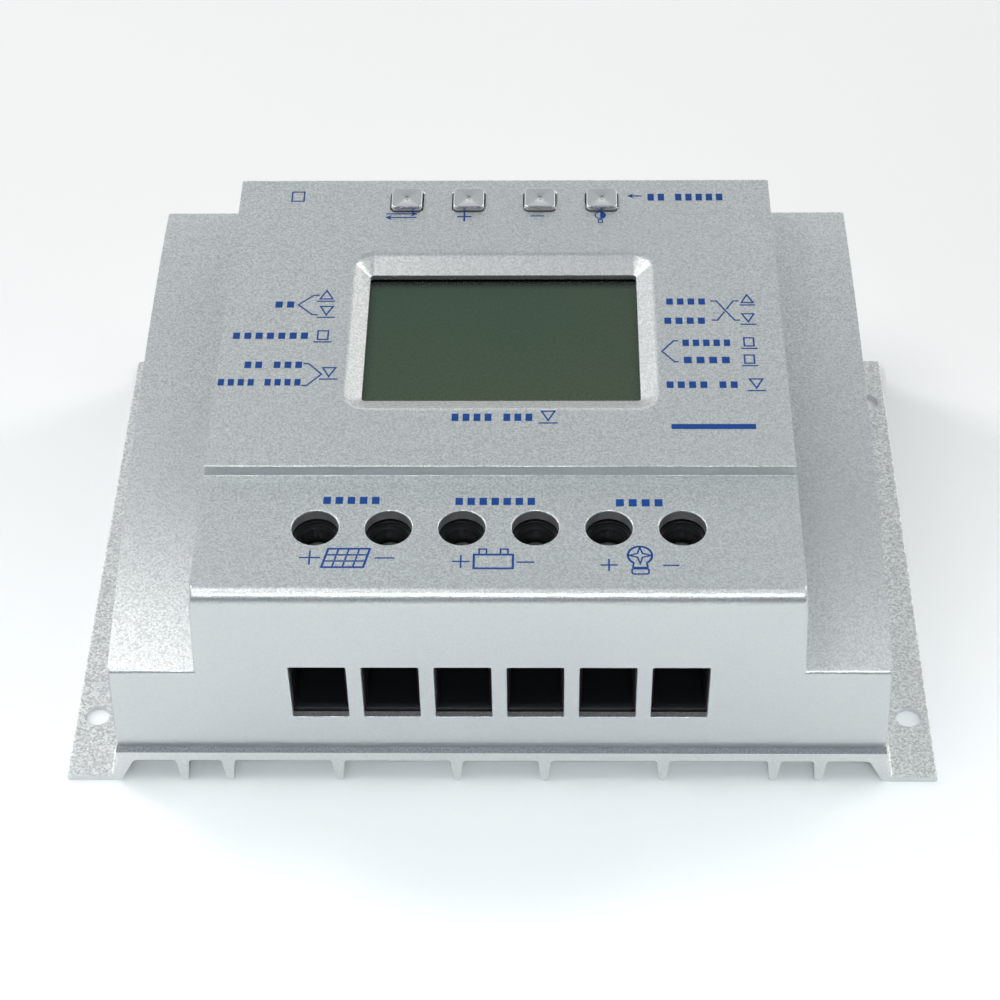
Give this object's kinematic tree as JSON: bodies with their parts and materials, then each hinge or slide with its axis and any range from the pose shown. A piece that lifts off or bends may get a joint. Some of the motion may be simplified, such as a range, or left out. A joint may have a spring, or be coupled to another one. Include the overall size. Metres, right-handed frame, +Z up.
{
  "type": "charge controller",
  "caption": "Solar charge controller: silver cover with display, buttons and wire terminals, on a finned aluminium heat sink with drilled mounting flanges.",
  "frame": {"origin": "on the ground under the middle of the heat sink", "axes": "+X to the right along the longest side, with the display read upright; +Y from the wire slots to the buttons; +Z up, out of the display"},
  "size_m": [0.1996, 0.14, 0.0657],
  "materials": {
    "cover": "silver metallic paint, satin, fine sparkle",
    "heat_sink": "painted silver, fine grain",
    "gasket": "thin foam",
    "display_glass": "dark green display",
    "backlight": "milky light guide",
    "button": "silver satin",
    "switch": "black",
    "terminal_block": "black moulded",
    "cage": "zinc plated",
    "screw": "zinc plated",
    "contact_bar": "tinned copper alloy",
    "board": "green laminate",
    "spacer": "turned",
    "transistor": "black epoxy",
    "clamp": "plain",
    "thermal_pad": "silicone sheet",
    "capacitor": "sleeved can",
    "inductor": "enamelled copper winding",
    "ribbon": "grey flat cable"
  },
  "bodies": {
    "controller": {"base_gasket": "gasket", "board_screw_front_left": "screw", "board_screw_front_right": "screw", "board_screw_rear_left": "screw", "board_screw_rear_right": "screw", "board_spacer_front_left": "spacer", "board_spacer_front_right": "spacer", "board_spacer_rear_left": "spacer", "board_spacer_rear_right": "spacer", "capacitor_left": "capacitor", "capacitor_right": "capacitor", "contact_bar_battery_minus": "contact_bar", "contact_bar_battery_plus": "contact_bar", "contact_bar_load_minus": "contact_bar", "contact_bar_load_plus": "contact_bar", "contact_bar_solar_minus": "contact_bar", "contact_bar_solar_plus": "contact_bar", "cover_screw_front_left": "screw", "cover_screw_front_right": "screw", "cover_screw_rear_left": "screw", "cover_screw_rear_right": "screw", "cycle_switch": "switch", "display_board": "board", "display_screw_front_left": "screw", "display_screw_front_right": "screw", "display_screw_rear_left": "screw", "display_screw_rear_right": "screw", "heat_sink": "heat_sink", "inductor": "inductor", "lamp_switch": "switch", "lcd_backlight": "backlight", "lcd_glass": "display_glass", "main_board": "board", "minus_switch": "switch", "plus_switch": "switch", "power_transistor_1": "transistor", "power_transistor_2": "transistor", "power_transistor_3": "transistor", "power_transistor_4": "transistor", "ribbon_cable": "ribbon", "terminal_block": "terminal_block", "thermal_pad": "thermal_pad", "top_cover": "cover", "transistor_clamp": "clamp"},
    "cycle_button": {"cycle_button": "button"},
    "plus_button": {"plus_button": "button"},
    "minus_button": {"minus_button": "button"},
    "lamp_button": {"lamp_button": "button"},
    "clamp_screw_solar_plus": {"clamp_screw_solar_plus": "screw"},
    "wire_cage_solar_plus": {"wire_cage_solar_plus": "cage"},
    "clamp_screw_solar_minus": {"clamp_screw_solar_minus": "screw"},
    "wire_cage_solar_minus": {"wire_cage_solar_minus": "cage"},
    "clamp_screw_battery_plus": {"clamp_screw_battery_plus": "screw"},
    "wire_cage_battery_plus": {"wire_cage_battery_plus": "cage"},
    "clamp_screw_battery_minus": {"clamp_screw_battery_minus": "screw"},
    "wire_cage_battery_minus": {"wire_cage_battery_minus": "cage"},
    "clamp_screw_load_plus": {"clamp_screw_load_plus": "screw"},
    "wire_cage_load_plus": {"wire_cage_load_plus": "cage"},
    "clamp_screw_load_minus": {"clamp_screw_load_minus": "screw"},
    "wire_cage_load_minus": {"wire_cage_load_minus": "cage"}
  },
  "joints": [
    {"name": "cycle_button_press", "type": "slide", "parent": "controller", "child": "cycle_button", "axis": [0, 0, -1], "range_m": [0, 0.0005], "stiffness_N_per_m": 60},
    {"name": "plus_button_press", "type": "slide", "parent": "controller", "child": "plus_button", "axis": [0, 0, -1], "range_m": [0, 0.0005], "stiffness_N_per_m": 60},
    {"name": "minus_button_press", "type": "slide", "parent": "controller", "child": "minus_button", "axis": [0, 0, -1], "range_m": [0, 0.0005], "stiffness_N_per_m": 60},
    {"name": "lamp_button_press", "type": "slide", "parent": "controller", "child": "lamp_button", "axis": [0, 0, -1], "range_m": [0, 0.0005], "stiffness_N_per_m": 60},
    {"name": "clamp_screw_solar_plus_turn", "type": "hinge", "parent": "controller", "child": "clamp_screw_solar_plus", "pos_m": [-0.04, -0.0485, 0.052], "axis": [0, 0, -1], "range_deg": [0, 3600]},
    {"name": "wire_cage_solar_plus_rise", "type": "slide", "parent": "controller", "child": "wire_cage_solar_plus", "axis": [0, 0, 1], "range_m": [0, 0.008]},
    {"name": "clamp_screw_solar_minus_turn", "type": "hinge", "parent": "controller", "child": "clamp_screw_solar_minus", "pos_m": [-0.024, -0.0485, 0.052], "axis": [0, 0, -1], "range_deg": [0, 3600]},
    {"name": "wire_cage_solar_minus_rise", "type": "slide", "parent": "controller", "child": "wire_cage_solar_minus", "axis": [0, 0, 1], "range_m": [0, 0.008]},
    {"name": "clamp_screw_battery_plus_turn", "type": "hinge", "parent": "controller", "child": "clamp_screw_battery_plus", "pos_m": [-0.008, -0.0485, 0.052], "axis": [0, 0, -1], "range_deg": [0, 3600]},
    {"name": "wire_cage_battery_plus_rise", "type": "slide", "parent": "controller", "child": "wire_cage_battery_plus", "axis": [0, 0, 1], "range_m": [0, 0.008]},
    {"name": "clamp_screw_battery_minus_turn", "type": "hinge", "parent": "controller", "child": "clamp_screw_battery_minus", "pos_m": [0.008, -0.0485, 0.052], "axis": [0, 0, -1], "range_deg": [0, 3600]},
    {"name": "wire_cage_battery_minus_rise", "type": "slide", "parent": "controller", "child": "wire_cage_battery_minus", "axis": [0, 0, 1], "range_m": [0, 0.008]},
    {"name": "clamp_screw_load_plus_turn", "type": "hinge", "parent": "controller", "child": "clamp_screw_load_plus", "pos_m": [0.024, -0.0485, 0.052], "axis": [0, 0, -1], "range_deg": [0, 3600]},
    {"name": "wire_cage_load_plus_rise", "type": "slide", "parent": "controller", "child": "wire_cage_load_plus", "axis": [0, 0, 1], "range_m": [0, 0.008]},
    {"name": "clamp_screw_load_minus_turn", "type": "hinge", "parent": "controller", "child": "clamp_screw_load_minus", "pos_m": [0.04, -0.0485, 0.052], "axis": [0, 0, -1], "range_deg": [0, 3600]},
    {"name": "wire_cage_load_minus_rise", "type": "slide", "parent": "controller", "child": "wire_cage_load_minus", "axis": [0, 0, 1], "range_m": [0, 0.008]}
  ],
  "couplings": [
    {"joint": "clamp_screw_solar_plus_turn", "follows": "wire_cage_solar_plus_rise", "rad_per_m": 7854},
    {"joint": "clamp_screw_solar_minus_turn", "follows": "wire_cage_solar_minus_rise", "rad_per_m": 7854},
    {"joint": "clamp_screw_battery_plus_turn", "follows": "wire_cage_battery_plus_rise", "rad_per_m": 7854},
    {"joint": "clamp_screw_battery_minus_turn", "follows": "wire_cage_battery_minus_rise", "rad_per_m": 7854},
    {"joint": "clamp_screw_load_plus_turn", "follows": "wire_cage_load_plus_rise", "rad_per_m": 7854},
    {"joint": "clamp_screw_load_minus_turn", "follows": "wire_cage_load_minus_rise", "rad_per_m": 7854}
  ]
}
